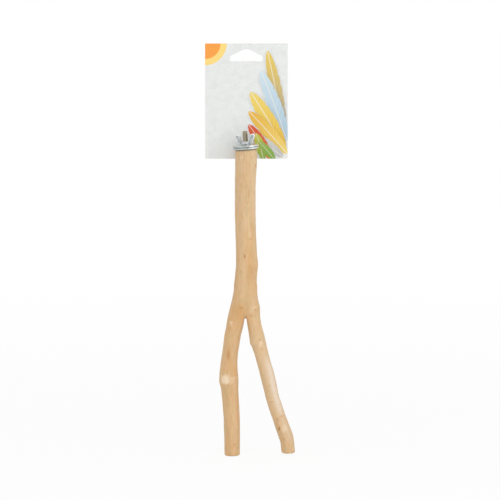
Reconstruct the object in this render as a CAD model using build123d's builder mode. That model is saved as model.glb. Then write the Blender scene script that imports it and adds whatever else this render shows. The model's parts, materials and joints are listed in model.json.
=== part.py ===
"""Forked natural-wood bird perch with its cage clamp and retail hang card.

Frame: origin on the stud axis, at the clamp plane where cage wires or the card's tab are gripped.
+Z points up, away from the wood; +X to the right of the front view; +Y towards the card at the back.
Millimetres and degrees throughout.
"""

import os
from math import cos, radians, sin

from build123d import *
from scipy.interpolate import PchipInterpolator

os.makedirs("parts", exist_ok=True)

# Forked branch: three limbs that meet at the crotch
trunk_length = 166.0  # clamp plane to crotch
trunk_diameter = 20.4
left_leg_length = 135.4  # crotch to sawn end
left_leg_diameter = 16.4
right_leg_length = 132.6
right_leg_diameter = 14.2
trunk_wander = 0.9  # furthest that the trunk's centre strays from the stud axis
left_leg_spread = 16.5  # furthest sideways reach of a leg's centre from the crotch
left_leg_sway = 1.4  # furthest reach to the front or back
right_leg_spread = 41.8
right_leg_sway = 2.9
left_lobe_width = 17.6  # trunk width left and right of the crotch, where it divides
right_lobe_width = 14.5
crotch_web_depth = 13.0  # front-to-back length of the crotch line
flare_length = 30.0  # height over which the trunk widens into the fork
flare_power = 1.2  # 1 would widen the left side evenly
trunk_steps = 20  # cross-sections along a limb
leg_steps = 15
saw_allowance = 3.0  # log left above the clamp plane before the top is sawn
end_round = 1.0  # sanded edge at the sawn ends
end_taper_angle = 40.0
top_round = 0.6

# Clamp hardware: the top is sawn a few degrees off square, and the stud stands square to that cut
seat_tilt = 4.5
stud_diameter = 5.0
stud_stick_out = 15.4  # clamp plane to stud tip
stud_tip_chamfer = 0.6
thread_mean_diameter = 4.48  # drawn where the nut, washers and wood cover the thread
screw_depth = 30.0  # wood screw end, below the seat
screw_point_length = 5.0
bore_clearance = 0.03  # wood round the screw, and nut round the stud
washer_diameter = 25.0
washer_thickness = 1.5
washer_play = 0.6  # washer bore over the stud
washer_edge = 0.3  # broken edge round the rim

# Wing nut
nut_turn = -20.0  # how the wings stand, seen from above
hub_base_diameter = 9.6
hub_top_diameter = 8.2
hub_height = 4.6
wing_span = 22.4  # over the tips before they are rounded
wing_height = 10.5
wing_tip_width = 5.4
wing_tip_round = 2.0
wing_flare = 3.4  # how far the wing leans out from its elbow to its tip
wing_elbow_rise = 1.4
wing_thickness = 2.4
wing_edge = 0.6  # broken edge round the wings
wing_root_height = 1.2  # underside of the wing, above the washer

# Hang card: flat board whose bottom tongue is folded forward between the washers
card_width = 80.0
card_top = 99.1  # above the clamp plane
card_bottom = 12.7  # below the clamp plane
card_drift = 0.4  # sideways, from the stud axis
card_thickness = 0.5
card_corner_round = 0.8
crease_radius = 0.5  # inside the fold
card_gap = 0.5  # card face behind the washer rims
tongue_width = 17.0
tongue_play = 0.8  # tongue hole over the stud
slit_width = 0.6  # between the tongue's old place and the rest of the card
hole_width = 31.6  # triangular hang hole
hole_height = 12.6  # before its apex is rounded
hole_side = 4.7  # upright part of its two sides
hole_base = 82.1  # above the clamp plane
hole_corner_round = 1.6
hole_apex_round = 10.0

# Planes that the hardware shares
tilt = radians(seat_tilt)
stud_direction = (-sin(tilt), 0, cos(tilt))
clamp = Plane(origin=(0, 0, 0), x_dir=(cos(tilt), 0, sin(tilt)), z_dir=stud_direction)
seat = clamp.offset(-washer_thickness)
profile_plane = Plane(origin=(0, 0, 0), x_dir=clamp.x_dir, z_dir=(0, -1, 0))
stud_axis = Axis((0, 0, 0), stud_direction)
trunk_radius = trunk_diameter / 2
washer_radius = washer_diameter / 2
stud_radius = stud_diameter / 2
card_front = washer_radius + card_gap
nut_seat = card_thickness + washer_thickness
covered_top = nut_seat + hub_height

# Natural bends and nodes of each limb, top to bottom: share of the limb's length,
# drift sideways and towards the card as shares of the limb's reach, swell over the limb's diameter
trunk_run = [
    (0.00, 0.00, 0.00, 1.0),
    (0.11, 0.10, 0.00, 1.035),
    (0.18, -0.55, 0.20, 0.995),
    (0.345, -0.80, 0.65, 0.99),
    (0.485, -0.35, 0.80, 0.99),
    (0.605, 0.45, 0.45, 1.0),
    (0.70, 1.00, 0.10, 1.05),
    (0.77, -0.20, 0.00, 1.05),
    (0.83, -0.40, 0.00, 1.07),
    (1.00, -0.55, 0.00, 1.06),
]
left_leg_run = [
    (0.00, 0.00, 0.00, 1.1),
    (0.067, -0.643, 0.12, 1.025),
    (0.133, -0.758, 0.28, 1.0),
    (0.20, -0.837, 0.47, 0.965),
    (0.267, -0.914, 0.67, 0.95),
    (0.333, -0.976, 0.83, 0.988),
    (0.38, -1.00, 0.93, 1.045),
    (0.458, -0.98, 1.00, 1.125),
    (0.537, -0.937, 0.86, 1.02),
    (0.645, -0.865, 0.50, 0.98),
    (0.813, -0.805, -0.14, 0.96),
    (1.00, -0.788, -0.57, 0.92),
]
right_leg_run = [
    (0.00, 0.00, 0.00, 1.05),
    (0.067, 0.212, -0.08, 0.987),
    (0.133, 0.261, -0.18, 1.06),
    (0.20, 0.303, -0.30, 1.075),
    (0.267, 0.370, -0.45, 0.975),
    (0.333, 0.426, -0.58, 0.96),
    (0.39, 0.481, -0.69, 1.0),
    (0.537, 0.588, -0.90, 0.965),
    (0.626, 0.661, -0.97, 0.985),
    (0.685, 0.721, -1.00, 0.985),
    (0.76, 0.80, -0.98, 0.985),
    (0.852, 0.911, -0.90, 1.07),
    (0.941, 0.982, -0.76, 0.955),
    (1.00, 1.00, -0.66, 0.955),
]
crotch_drift = trunk_wander * trunk_run[-1][1]


def limb_at(run, share, spread, sway):
    """Drift sideways, drift towards the card and swell of a limb at a share of its length."""
    shares, *columns = zip(*run)
    drift, back, swell = (float(PchipInterpolator(shares, column)(share)) for column in columns)
    return drift * spread, back * sway, swell


def smooth_step(share):
    """Eases from 0 to 1 with level ends."""
    share = min(max(share, 0), 1)
    return share * share * (3 - 2 * share)


def trunk_rings():
    """Cross-sections of the trunk, as height, split line, drift back, reach left and right, half depth.

    They start round at the saw allowance and end at the crotch as two lobes.
    """
    rings = []
    for step in range(trunk_steps + 1):
        depth = step / trunk_steps * (trunk_length + saw_allowance) - saw_allowance
        drift, back, swell = limb_at(trunk_run, depth / trunk_length, trunk_wander, trunk_wander)
        radius = trunk_radius * swell
        flare = max(0, 1 - (trunk_length - depth) / flare_length)
        left = radius + (left_lobe_width - radius) * flare**flare_power
        right = radius + (right_lobe_width - radius) * smooth_step(flare)
        web = radius + (crotch_web_depth / 2 - radius) * flare**3
        rings.append((-depth, drift, back, left, right, web))
    return rings


def leg_rings(length, diameter, spread, sway, run, left_lobe, right_lobe):
    """Cross-sections of a leg: its half of the crotch section, then round down to the sawn end."""
    rings = [(-trunk_length, crotch_drift, 0, left_lobe, right_lobe, crotch_web_depth / 2)]
    for step in range(1, leg_steps + 1):
        share = step / leg_steps
        drift, back, swell = limb_at(run, share, spread, sway)
        radius = diameter / 2 * swell
        rings.append((-trunk_length - share * length, crotch_drift + drift, back, radius, radius, radius))
    return rings


def screw_outline(clearance):
    """Half outline of the wood screw end, from the seat down to its point, grown by a clearance."""
    radius = thread_mean_diameter / 2 + clearance
    seat_height = -washer_thickness
    tip = seat_height - screw_depth
    return [(radius, seat_height), (radius, tip + screw_point_length), (0, tip - clearance)]


# Forked branch: trunk and two legs lofted from their cross-sections, sawn, drilled and sanded
left_leg = (left_leg_length, left_leg_diameter, left_leg_spread, left_leg_sway, left_leg_run)
right_leg = (right_leg_length, right_leg_diameter, right_leg_spread, right_leg_sway, right_leg_run)
limbs = [
    trunk_rings(),
    leg_rings(*left_leg, left_lobe_width, 0),
    leg_rings(*right_leg, 0, right_lobe_width),
]
with BuildPart() as forked_branch:
    for rings in limbs:
        for height, split_line, back, left, right, web in rings:
            front_point = (split_line, back - web)
            back_point = (split_line, back + web)
            with BuildSketch(Plane.XY.offset(height)):
                with BuildLine():
                    if left:
                        ThreePointArc(front_point, (split_line - left, back), back_point)
                    else:
                        Line(front_point, back_point)
                    if right:
                        ThreePointArc(back_point, (split_line + right, back), front_point)
                    else:
                        Line(back_point, front_point)
                make_face()
        loft(ruled=True)
    for height, centre, back, radius, _, _ in (limbs[1][-1], limbs[2][-1]):
        with BuildSketch(Plane.XY.offset(height)):
            with Locations((centre, back)):
                Circle(radius)
        extrude(amount=-end_round, taper=end_taper_angle)
    split(bisect_by=seat, keep=Keep.BOTTOM)
    with BuildSketch(profile_plane):
        with BuildLine():
            Polyline(
                (trunk_radius - top_round, -washer_thickness),
                (trunk_diameter, -washer_thickness),
                (trunk_diameter, -washer_thickness - top_round - trunk_radius),
                close=True,
            )
        make_face()
    revolve(axis=stud_axis, mode=Mode.SUBTRACT)
    with BuildSketch(profile_plane):
        with BuildLine():
            Polyline((0, -washer_thickness), *screw_outline(bore_clearance), close=True)
        make_face()
    revolve(axis=stud_axis, mode=Mode.SUBTRACT)
forked_branch.part.label = "forked_branch"

# Hanger bolt: wood screw end in the trunk, machine thread standing out of it
with BuildPart() as hanger_bolt:
    with BuildSketch(profile_plane):
        with BuildLine():
            Polyline(
                *screw_outline(0),
                (0, stud_stick_out),
                (stud_radius - stud_tip_chamfer, stud_stick_out),
                (stud_radius, stud_stick_out - stud_tip_chamfer),
                (stud_radius, covered_top),
                (thread_mean_diameter / 2, covered_top),
                close=True,
            )
        make_face()
    revolve(axis=stud_axis)
hanger_bolt.part.label = "hanger_bolt"

# Fender washers: one against the wood, one under the nut
with BuildPart() as inner_washer:
    with BuildSketch(seat):
        Circle(washer_radius)
        Circle(stud_radius + washer_play / 2, mode=Mode.SUBTRACT)
    extrude(amount=washer_thickness)
    rims = inner_washer.edges().filter_by(GeomType.CIRCLE).group_by(SortBy.RADIUS)
    chamfer(rims[-1], length=washer_edge)
inner_washer.part.label = "inner_washer"

with BuildPart() as outer_washer:
    with BuildSketch(clamp.offset(card_thickness)):
        Circle(washer_radius)
        Circle(stud_radius + washer_play / 2, mode=Mode.SUBTRACT)
    extrude(amount=washer_thickness)
    rims = outer_washer.edges().filter_by(GeomType.CIRCLE).group_by(SortBy.RADIUS)
    chamfer(rims[-1], length=washer_edge)
outer_washer.part.label = "outer_washer"

# Wing nut: a tapered hub with two flared wings
nut_plane = Plane(clamp.offset(nut_seat).location * Rotation(Z=nut_turn))
wing_plane = Plane(origin=nut_plane.origin, x_dir=nut_plane.x_dir, z_dir=-nut_plane.y_dir)
wing_reach = wing_span / 2
hub_base_radius = hub_base_diameter / 2
hub_top_radius = hub_top_diameter / 2
with BuildPart() as wing_nut:
    with BuildSketch(wing_plane) as wings:
        with BuildLine():
            Polyline(
                (0, wing_root_height),
                (hub_base_radius, wing_root_height),
                (wing_reach - wing_flare, wing_root_height + wing_elbow_rise),
                (wing_reach, wing_height),
                (wing_reach - wing_tip_width, wing_height),
                (hub_top_radius, hub_height),
                (0, hub_height),
                close=True,
            )
        make_face()
        fillet(wings.vertices().sort_by(Axis.Y)[-2:], radius=wing_tip_round)
        mirror(about=Plane.YZ)
    extrude(amount=wing_thickness / 2, both=True)
    across = Axis((0, 0, 0), wing_plane.z_dir)
    chamfer(wing_nut.edges().filter_by(across, reverse=True), length=wing_edge)
    with BuildSketch(wing_plane):
        with BuildLine():
            Polyline(
                (0, 0),
                (hub_base_radius, 0),
                (hub_top_radius, hub_height),
                (0, hub_height),
                close=True,
            )
        make_face()
    revolve(axis=stud_axis)
    with BuildSketch(nut_plane):
        Circle(stud_radius + bore_clearance)
    extrude(amount=wing_height, mode=Mode.SUBTRACT)
wing_nut.part.label = "wing_nut"

# Hang card: board with a triangular hang hole, its tongue folded forward along a crease
panel_plane = Plane.XZ.offset(-card_front)
crease_top = card_thickness + crease_radius
crease_plane = Plane(origin=(0, 0, 0), x_dir=(0, 1, 0), z_dir=clamp.x_dir)
crease_start = card_front - crease_radius
hole_left = card_drift - hole_width / 2
hole_right = card_drift + hole_width / 2
notch_plane = Plane(origin=(0, card_front, 0), x_dir=clamp.x_dir, z_dir=(0, -1, 0))
with BuildPart() as hang_card:
    with BuildSketch(panel_plane):
        with Locations((card_drift, (card_top - card_bottom) / 2)):
            RectangleRounded(card_width, card_top + card_bottom, card_corner_round)
    extrude(amount=-card_thickness)
    with BuildSketch(panel_plane) as hang_hole:
        with BuildLine():
            Polyline(
                (hole_left, hole_base),
                (hole_right, hole_base),
                (hole_right, hole_base + hole_side),
                (card_drift, hole_base + hole_height),
                (hole_left, hole_base + hole_side),
                close=True,
            )
        make_face()
        fillet(hang_hole.vertices().sort_by(Axis.Y)[-1:], radius=hole_apex_round)
        fillet(hang_hole.vertices().sort_by(Axis.Y)[:4], radius=hole_corner_round)
    extrude(amount=-card_thickness, mode=Mode.SUBTRACT)
    with BuildSketch(notch_plane):
        with Locations((0, crease_top)):
            Rectangle(tongue_width + 2 * slit_width, card_bottom * 2, align=(Align.CENTER, Align.MAX))
    extrude(amount=-card_thickness, mode=Mode.SUBTRACT)
    with BuildSketch(crease_plane):
        with BuildLine():
            Line((crease_start, 0), (crease_start, card_thickness))
            RadiusArc(
                (crease_start, card_thickness), (card_front, crease_top), -crease_radius
            )
            Line((card_front, crease_top), (card_front + card_thickness, crease_top))
            RadiusArc(
                (card_front + card_thickness, crease_top),
                (crease_start, 0),
                crease_radius + card_thickness,
            )
        make_face()
    extrude(amount=tongue_width / 2, both=True)
    with BuildSketch(clamp):
        Circle(tongue_width / 2)
        Rectangle(tongue_width, crease_start, align=(Align.CENTER, Align.MIN))
        Circle(stud_radius + tongue_play / 2, mode=Mode.SUBTRACT)
    extrude(amount=card_thickness)
hang_card.part.label = "hang_card"

pieces = [forked_branch, hanger_bolt, inner_washer, outer_washer, wing_nut, hang_card]
for piece in pieces:
    export_step(piece.part, f"parts/{piece.part.label}.step")
    print(piece.part.label, round(piece.part.volume, 1), "mm3")
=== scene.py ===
# %% [markdown]
# # A forked wooden perch on its card
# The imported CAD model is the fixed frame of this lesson. Every piece made below sits where the
# frame says, in metres, and rides on one of its bodies, so the nut still travels and the card
# still turns when the part is posed.

# %% Load the frame
import json
import math
import bpy
import numpy as np
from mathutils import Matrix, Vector, noise


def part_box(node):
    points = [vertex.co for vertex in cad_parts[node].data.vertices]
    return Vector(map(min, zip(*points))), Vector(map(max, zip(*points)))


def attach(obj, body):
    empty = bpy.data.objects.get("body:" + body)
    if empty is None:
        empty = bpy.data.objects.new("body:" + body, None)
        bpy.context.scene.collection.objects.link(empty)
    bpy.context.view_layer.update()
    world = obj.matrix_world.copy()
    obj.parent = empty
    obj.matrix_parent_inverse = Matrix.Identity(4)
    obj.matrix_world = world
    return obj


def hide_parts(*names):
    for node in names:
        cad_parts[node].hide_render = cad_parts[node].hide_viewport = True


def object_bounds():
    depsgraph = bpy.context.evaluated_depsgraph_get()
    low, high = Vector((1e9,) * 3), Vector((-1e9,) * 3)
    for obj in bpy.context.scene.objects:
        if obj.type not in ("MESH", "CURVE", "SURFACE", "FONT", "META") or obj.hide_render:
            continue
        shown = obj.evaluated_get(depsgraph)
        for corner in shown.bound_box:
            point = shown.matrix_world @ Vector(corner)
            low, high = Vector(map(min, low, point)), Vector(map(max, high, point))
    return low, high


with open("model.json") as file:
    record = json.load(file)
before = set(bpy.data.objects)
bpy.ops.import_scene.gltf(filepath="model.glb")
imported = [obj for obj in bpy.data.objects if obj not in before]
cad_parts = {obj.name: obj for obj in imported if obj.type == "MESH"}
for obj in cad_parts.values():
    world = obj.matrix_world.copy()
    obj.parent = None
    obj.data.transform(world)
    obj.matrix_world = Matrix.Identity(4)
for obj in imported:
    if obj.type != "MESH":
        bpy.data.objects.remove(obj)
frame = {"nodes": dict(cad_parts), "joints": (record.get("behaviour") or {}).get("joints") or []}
cad_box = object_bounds()
MM = 0.001
joint_axes = {joint["name"]: Vector(joint["axis"]) for joint in frame["joints"]}
STUD_AXIS = joint_axes["nut_travel"].normalized()
print("CAD box in mm:", [[round(c / MM, 1) for c in corner] for corner in cad_box])

# %% [markdown]
# ## Camera
# The photograph is a catalogue picture taken from far away and a little above, so that its lines
# hardly converge. An orthographic camera would be flatter still, but a long lens three metres off
# keeps the trace of depth that a real picture has. The lens is worked out from the width that the
# picture spans at the perch.

# %% Camera
VIEW_CENTRE = Vector((3.9 * MM, 0, -100.3 * MM))
VIEW_WIDTH = 485 * MM
CAMERA_DISTANCE = 3.0
CAMERA_LIFT = math.radians(7)
SENSOR_WIDTH = 36

camera_data = bpy.data.cameras.new("catalogue_camera")
camera_data.sensor_width = SENSOR_WIDTH
camera_data.lens = SENSOR_WIDTH * CAMERA_DISTANCE / VIEW_WIDTH
camera = bpy.data.objects.new("catalogue_camera", camera_data)
bpy.context.collection.objects.link(camera)
away = Vector((0, -math.cos(CAMERA_LIFT), math.sin(CAMERA_LIFT)))
camera.location = VIEW_CENTRE + away * CAMERA_DISTANCE
camera.rotation_euler = (math.pi / 2 - CAMERA_LIFT, 0, 0)
bpy.context.scene.camera = camera
print("lens in mm:", round(camera_data.lens, 1))

# %% [markdown]
# ## Node helpers
# A material is a little network. These helpers add one node each and take either a number or
# another node's output for an input, so that each recipe below reads from top to bottom.

# %% Node helpers
# where most of a noise's values lie
NOISE_RANGE = (0.3, 0.7)


def new_material(name):
    """A node material: the material, its tree and its main shader."""
    material = bpy.data.materials.new(name)
    material.use_nodes = True
    return material, material.node_tree, material.node_tree.nodes["Principled BSDF"]


def feed(tree, socket, value):
    """Set a socket to a plain value, or link another node's output to it."""
    if isinstance(value, bpy.types.NodeSocket):
        tree.links.new(value, socket)
    else:
        socket.default_value = (*value, 1) if socket.type == "RGBA" else value


def set_shader(tree, shader, looks):
    """Set or link several sockets of a shader by their names."""
    for socket, value in looks.items():
        feed(tree, shader.inputs[socket], value)


def calculate(tree, operation, first, second=0.0):
    """One step of arithmetic."""
    made = tree.nodes.new("ShaderNodeMath")
    made.operation = operation
    feed(tree, made.inputs[0], first)
    feed(tree, made.inputs[1], second)
    return made.outputs[0]


def remap(tree, value, low, high, to_low=0.0, to_high=1.0):
    """Stretch a range of values to another range, and hold it at both ends."""
    made = tree.nodes.new("ShaderNodeMapRange")
    feed(tree, made.inputs["Value"], value)
    made.inputs["From Min"].default_value = low
    made.inputs["From Max"].default_value = high
    made.inputs["To Min"].default_value = to_low
    made.inputs["To Max"].default_value = to_high
    return made.outputs["Result"]


def weigh(tree, *shares):
    """Add values up, each times its own weight."""
    total = None
    for value, weight in shares:
        part = calculate(tree, "MULTIPLY", value, weight)
        total = part if total is None else calculate(tree, "ADD", total, part)
    return total


def object_place(tree):
    """Where a point lies on the piece itself, in metres."""
    return tree.nodes.new("ShaderNodeTexCoord").outputs["Object"]


def parts_of(tree, vector):
    """The x, y and z of a vector, as outputs of those names."""
    made = tree.nodes.new("ShaderNodeSeparateXYZ")
    tree.links.new(vector, made.inputs[0])
    return made.outputs


def vector_step(tree, operation, vector, other=(0, 0, 0)):
    """One step of vector arithmetic, as outputs named Vector and Value."""
    made = tree.nodes.new("ShaderNodeVectorMath")
    made.operation = operation
    tree.links.new(vector, made.inputs[0])
    made.inputs[1].default_value = other
    return made.outputs


def painted(tree, name, kind="Fac"):
    """A value that was stored on the mesh's vertices."""
    made = tree.nodes.new("ShaderNodeAttribute")
    made.attribute_name = name
    return made.outputs[kind]


def scaled(tree, vector, scale):
    """Squeeze a pattern's coordinates; a small number stretches the pattern."""
    made = tree.nodes.new("ShaderNodeMapping")
    tree.links.new(vector, made.inputs["Vector"])
    made.inputs["Scale"].default_value = scale
    return made.outputs["Vector"]


def cloud(tree, vector, scale=1.0, detail=3.0, roughness=0.5):
    """Soft random noise around 0.5."""
    made = tree.nodes.new("ShaderNodeTexNoise")
    tree.links.new(vector, made.inputs["Vector"])
    made.inputs["Scale"].default_value = scale
    made.inputs["Detail"].default_value = detail
    made.inputs["Roughness"].default_value = roughness
    return made.outputs["Fac"]


def ramp(tree, value, *stops):
    """A colour for each value: stops are (place, colour)."""
    made = tree.nodes.new("ShaderNodeValToRGB")
    feed(tree, made.inputs["Fac"], value)
    while len(made.color_ramp.elements) < len(stops):
        made.color_ramp.elements.new(0.5)
    for element, (place, colour) in zip(made.color_ramp.elements, stops):
        element.position = place
        element.color = (*colour, 1)
    return made.outputs["Color"]


def blend_colours(tree, share, first, second, how="MIX"):
    """Lay the second colour over the first one by a share."""
    made = tree.nodes.new("ShaderNodeMix")
    made.data_type = "RGBA"
    made.blend_type = how
    feed(tree, made.inputs[0], share)
    feed(tree, made.inputs[6], first)
    feed(tree, made.inputs[7], second)
    return made.outputs[2]


def relief(tree, shader, height, strength, depth):
    """Fine relief that is too small to model."""
    made = tree.nodes.new("ShaderNodeBump")
    made.inputs["Strength"].default_value = strength
    made.inputs["Distance"].default_value = depth
    tree.links.new(height, made.inputs["Height"])
    tree.links.new(made.outputs["Normal"], shader.inputs["Normal"])


print("node helpers are ready")

# %% [markdown]
# ## Floor, world and lamps
# The picture is bright and nearly shadowless. The floor is white, and for the camera most of it
# glows at a strength of 1, so it reads as white paper. Near the perch a part of it is plain paint,
# which keeps a soft shadow. The world is white to the camera, gives a plain level of light from all
# round, and is greyer towards the camera in reflections, as a real room is, so that plated metal
# has something dark to mirror. One big lamp would do for the wood, but the clamp's soft shadow on
# the card and the glint on the washers come from the right, so there are three softboxes: a wide
# one above, a smaller one at the right and a weak one at the left that fills the shadows.

# %% Floor
FLOOR_SIZE = 40.0
FLOOR_WHITE = (0.93, 0.93, 0.93)
FLOOR_GLOW = 0.91
GLOW_NEAR = 0.35
GLOW_FAR = 1.3


def deselect_all():
    """Operators act on all that is selected, so start each piece from nothing."""
    bpy.ops.object.select_all(action="DESELECT")


deselect_all()
bpy.ops.mesh.primitive_plane_add(size=FLOOR_SIZE, location=(0, 0, cad_box[0][2]))
floor = bpy.context.object
floor.name = "floor"
bpy.ops.object.transform_apply(location=True, rotation=True, scale=True)

floor_paint, tree, shader = new_material("white_floor")
set_shader(tree, shader, {"Base Color": FLOOR_WHITE, "Roughness": 0.9, "Specular IOR Level": 0.0})
ray = tree.nodes.new("ShaderNodeLightPath")
seen = calculate(tree, "MAXIMUM", ray.outputs["Is Camera Ray"], ray.outputs["Is Glossy Ray"])
seen = calculate(tree, "MAXIMUM", seen, ray.outputs["Is Transmission Ray"])
glow = tree.nodes.new("ShaderNodeEmission")
paper = tree.nodes.new("ShaderNodeMixShader")
from_perch = vector_step(tree, "LENGTH", object_place(tree))["Value"]
glow_share = remap(tree, from_perch, GLOW_NEAR, GLOW_FAR, FLOOR_GLOW, 1.0)
tree.links.new(calculate(tree, "MULTIPLY", seen, glow_share), paper.inputs[0])
tree.links.new(shader.outputs[0], paper.inputs[1])
tree.links.new(glow.outputs[0], paper.inputs[2])
tree.links.new(paper.outputs[0], tree.nodes["Material Output"].inputs["Surface"])
floor.data.materials.append(floor_paint)
print("floor at", round(cad_box[0][2] / MM, 1), "mm")

# %% World
ROOM_LIGHT = 0.60
ROOM_GREY = 0.25
ROOM_FRONT = (-0.95, -0.35)

world = bpy.data.worlds.new("white_studio")
bpy.context.scene.world = world
world.use_nodes = True
tree = world.node_tree
backdrop = tree.nodes["Background"]
ray = tree.nodes.new("ShaderNodeLightPath")
direction = parts_of(tree, tree.nodes.new("ShaderNodeTexCoord").outputs["Generated"])
mirrored = remap(tree, direction["Y"], *ROOM_FRONT, ROOM_GREY, 1.0)
level = tree.nodes.new("ShaderNodeMix")
tree.links.new(ray.outputs["Is Glossy Ray"], level.inputs[0])
level.inputs[2].default_value = ROOM_LIGHT
tree.links.new(mirrored, level.inputs[3])
seen = calculate(tree, "MAXIMUM", ray.outputs["Is Camera Ray"], ray.outputs["Is Transmission Ray"])
tree.links.new(calculate(tree, "MAXIMUM", level.outputs[0], seen), backdrop.inputs["Strength"])
backdrop.inputs["Color"].default_value = (1, 1, 1, 1)
bpy.context.scene.view_settings.view_transform = "Standard"
print("world is ready")

# %% Lamps
# place and size in metres, power in watts
SOFTBOXES = {
    "top_softbox": ((0.4, -1.2, 1.7), 1.7, 12.0),
    "side_softbox": ((1.9, -1.35, 0.25), 0.95, 9.0),
    "fill_softbox": ((-1.2, -1.6, 0.7), 1.2, 6.5),
}
for name, (place, size, power) in SOFTBOXES.items():
    lamp = bpy.data.lights.new(name, "AREA")
    lamp.size = size
    lamp.energy = power
    holder = bpy.data.objects.new(name, lamp)
    bpy.context.collection.objects.link(holder)
    holder.location = place
    holder.rotation_euler = (VIEW_CENTRE - Vector(place)).to_track_quat("-Z", "Y").to_euler()
print("softboxes:", ", ".join(SOFTBOXES))

# %% [markdown]
# ## Mesh helpers
# The big shapes come from the frame: a copy of a CAD node is merged into one skin first, because
# it arrives as loose triangles. Modifiers are added and applied one at a time, as by hand. Points
# are moved as whole arrays, which is quicker than a loop over a hundred thousand vertices.

# %% Mesh helpers
MERGE_DISTANCE = 0.002 * MM


def pick(piece):
    """Make one piece the active one, with nothing else selected."""
    deselect_all()
    bpy.context.view_layer.objects.active = piece
    piece.select_set(True)


def edit_whole(operator, **settings):
    """Run one edit-mode operator on all of the active mesh."""
    bpy.ops.object.mode_set(mode="EDIT")
    bpy.ops.mesh.select_all(action="SELECT")
    operator(**settings)
    bpy.ops.object.mode_set(mode="OBJECT")


def copy_of_node(node, name):
    """A new piece with its own merged copy of a CAD node's mesh."""
    piece = bpy.data.objects.new(name, frame["nodes"][node].data.copy())
    bpy.context.collection.objects.link(piece)
    pick(piece)
    piece.data.materials.clear()
    bpy.ops.mesh.customdata_custom_splitnormals_clear()
    edit_whole(bpy.ops.mesh.remove_doubles, threshold=MERGE_DISTANCE)
    return piece


def apply_modifier(piece, kind, **settings):
    """Add one modifier to the active piece, set it and apply it."""
    modifier = piece.modifiers.new(kind.lower(), kind)
    for setting, value in settings.items():
        setattr(modifier, setting, value)
    bpy.ops.object.modifier_apply(modifier=modifier.name)


def even_skin(node, name, voxel, rounds):
    """A copy of a CAD node as a skin of small even squares, smoothed for a few rounds."""
    piece = copy_of_node(node, name)
    apply_modifier(piece, "REMESH", mode="VOXEL", voxel_size=voxel, use_smooth_shade=True)
    apply_modifier(piece, "SMOOTH", factor=0.5, iterations=rounds)
    return piece


def drop_slivers(piece):
    """Cuts leave points in the middle of straight edges; drop them and the empty faces there."""
    pick(piece)
    apply_modifier(piece, "TRIANGULATE", min_vertices=5)
    edit_whole(bpy.ops.mesh.dissolve_degenerate, threshold=MERGE_DISTANCE)


def read_skin(piece):
    """Points and outward directions of a mesh, as arrays."""
    count = len(piece.data.vertices)
    points, outward = np.empty(3 * count), np.empty(3 * count)
    piece.data.vertices.foreach_get("co", points)
    piece.data.vertices.foreach_get("normal", outward)
    return points.reshape(-1, 3), outward.reshape(-1, 3)


def write_skin(piece, points):
    """Put moved points back into the mesh."""
    piece.data.vertices.foreach_set("co", points.ravel())
    piece.data.update()


def paint(piece, name, values, kind="FLOAT"):
    """Store one value, or one vector, on each vertex for a material to read."""
    layer = piece.data.attributes.new(name, kind, "POINT")
    field = "vector" if kind == "FLOAT_VECTOR" else "value"
    layer.data.foreach_set(field, values.astype(np.float32).ravel())


def rise(value, low, high):
    """A smooth step from 0 at low to 1 at high; high may be the smaller one."""
    share = np.clip((value - low) / (high - low), 0, 1)
    return share * share * (3 - 2 * share)


def hill(value, middle, half):
    """1 at the middle, fading softly to both sides."""
    return np.exp(-(((value - middle) / half) ** 2))


print("mesh helpers are ready")

# %% [markdown]
# ## Peeled branch
# The perch is one grown fork with its bark peeled off. Subdividing the CAD skin would keep its
# straight rulings, so the copy is remeshed into small even squares and smoothed, which also softens
# the sawn rims as sanding does. Then the grown detail is pushed in: slow waves along the limbs,
# swollen nodes, knots with a lip and a pit, and flats where a knife took a side shoot off.

# %% Branch skin
BRANCH_VOXEL = 0.62 * MM
SANDING_ROUNDS = 5

branch = even_skin("forked_branch", "peeled_branch", BRANCH_VOXEL, SANDING_ROUNDS)
print("branch skin:", len(branch.data.polygons), "faces")

# %% [markdown]
# Wood fibres run along each limb, so the grain needs to know where a limb's centre is. It is
# measured here from the mesh: the mean of each thin slice, for the trunk and for each leg.
# Above the crotch the leg's centre fades into the trunk's, so that fibres bend into the fork.

# %% Limb centres
CROTCH = Vector((-0.6 * MM, 0, -166 * MM))
SLICE = 4 * MM
FORK_FADE = 34 * MM
SEAM_FADE = 5 * MM

points, outward = read_skin(branch)
below = points[:, 2] < CROTCH.z
on_left = points[:, 0] < CROTCH.x


def slice_centres(chosen):
    """Height, x and y of the middle of each slice through the chosen points."""
    levels = np.round(points[chosen, 2] / SLICE).astype(int)
    rows = []
    for level in np.unique(levels):
        ring = points[chosen][levels == level]
        middle = (ring.min(0) + ring.max(0)) / 2
        rows.append((level * SLICE, middle[0], middle[1]))
    return np.array(rows)


def centre_at(rows, height):
    """The limb's centre at any height."""
    return np.stack([np.interp(height, rows[:, 0], rows[:, side]) for side in (1, 2)], axis=1)


limb_rows = {
    "trunk": slice_centres(~below),
    "left_leg": slice_centres(below & on_left),
    "right_leg": slice_centres(below & ~on_left),
}
height = points[:, 2]
trunk_centre = centre_at(limb_rows["trunk"], height)
legs_centre = np.where(
    on_left[:, None],
    centre_at(limb_rows["left_leg"], height),
    centre_at(limb_rows["right_leg"], height),
)
in_fork = rise(height - CROTCH.z, FORK_FADE, 0)
off_seam = rise(np.abs(points[:, 0] - CROTCH.x), 0, SEAM_FADE)
share_of_leg = np.where(below, 1.0, in_fork * off_seam)[:, None]
centre = trunk_centre * (1 - share_of_leg) + legs_centre * share_of_leg
grain = np.column_stack([points[:, :2] - centre, height])
print("limbs:", {name: len(rows) for name, rows in limb_rows.items()})

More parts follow.
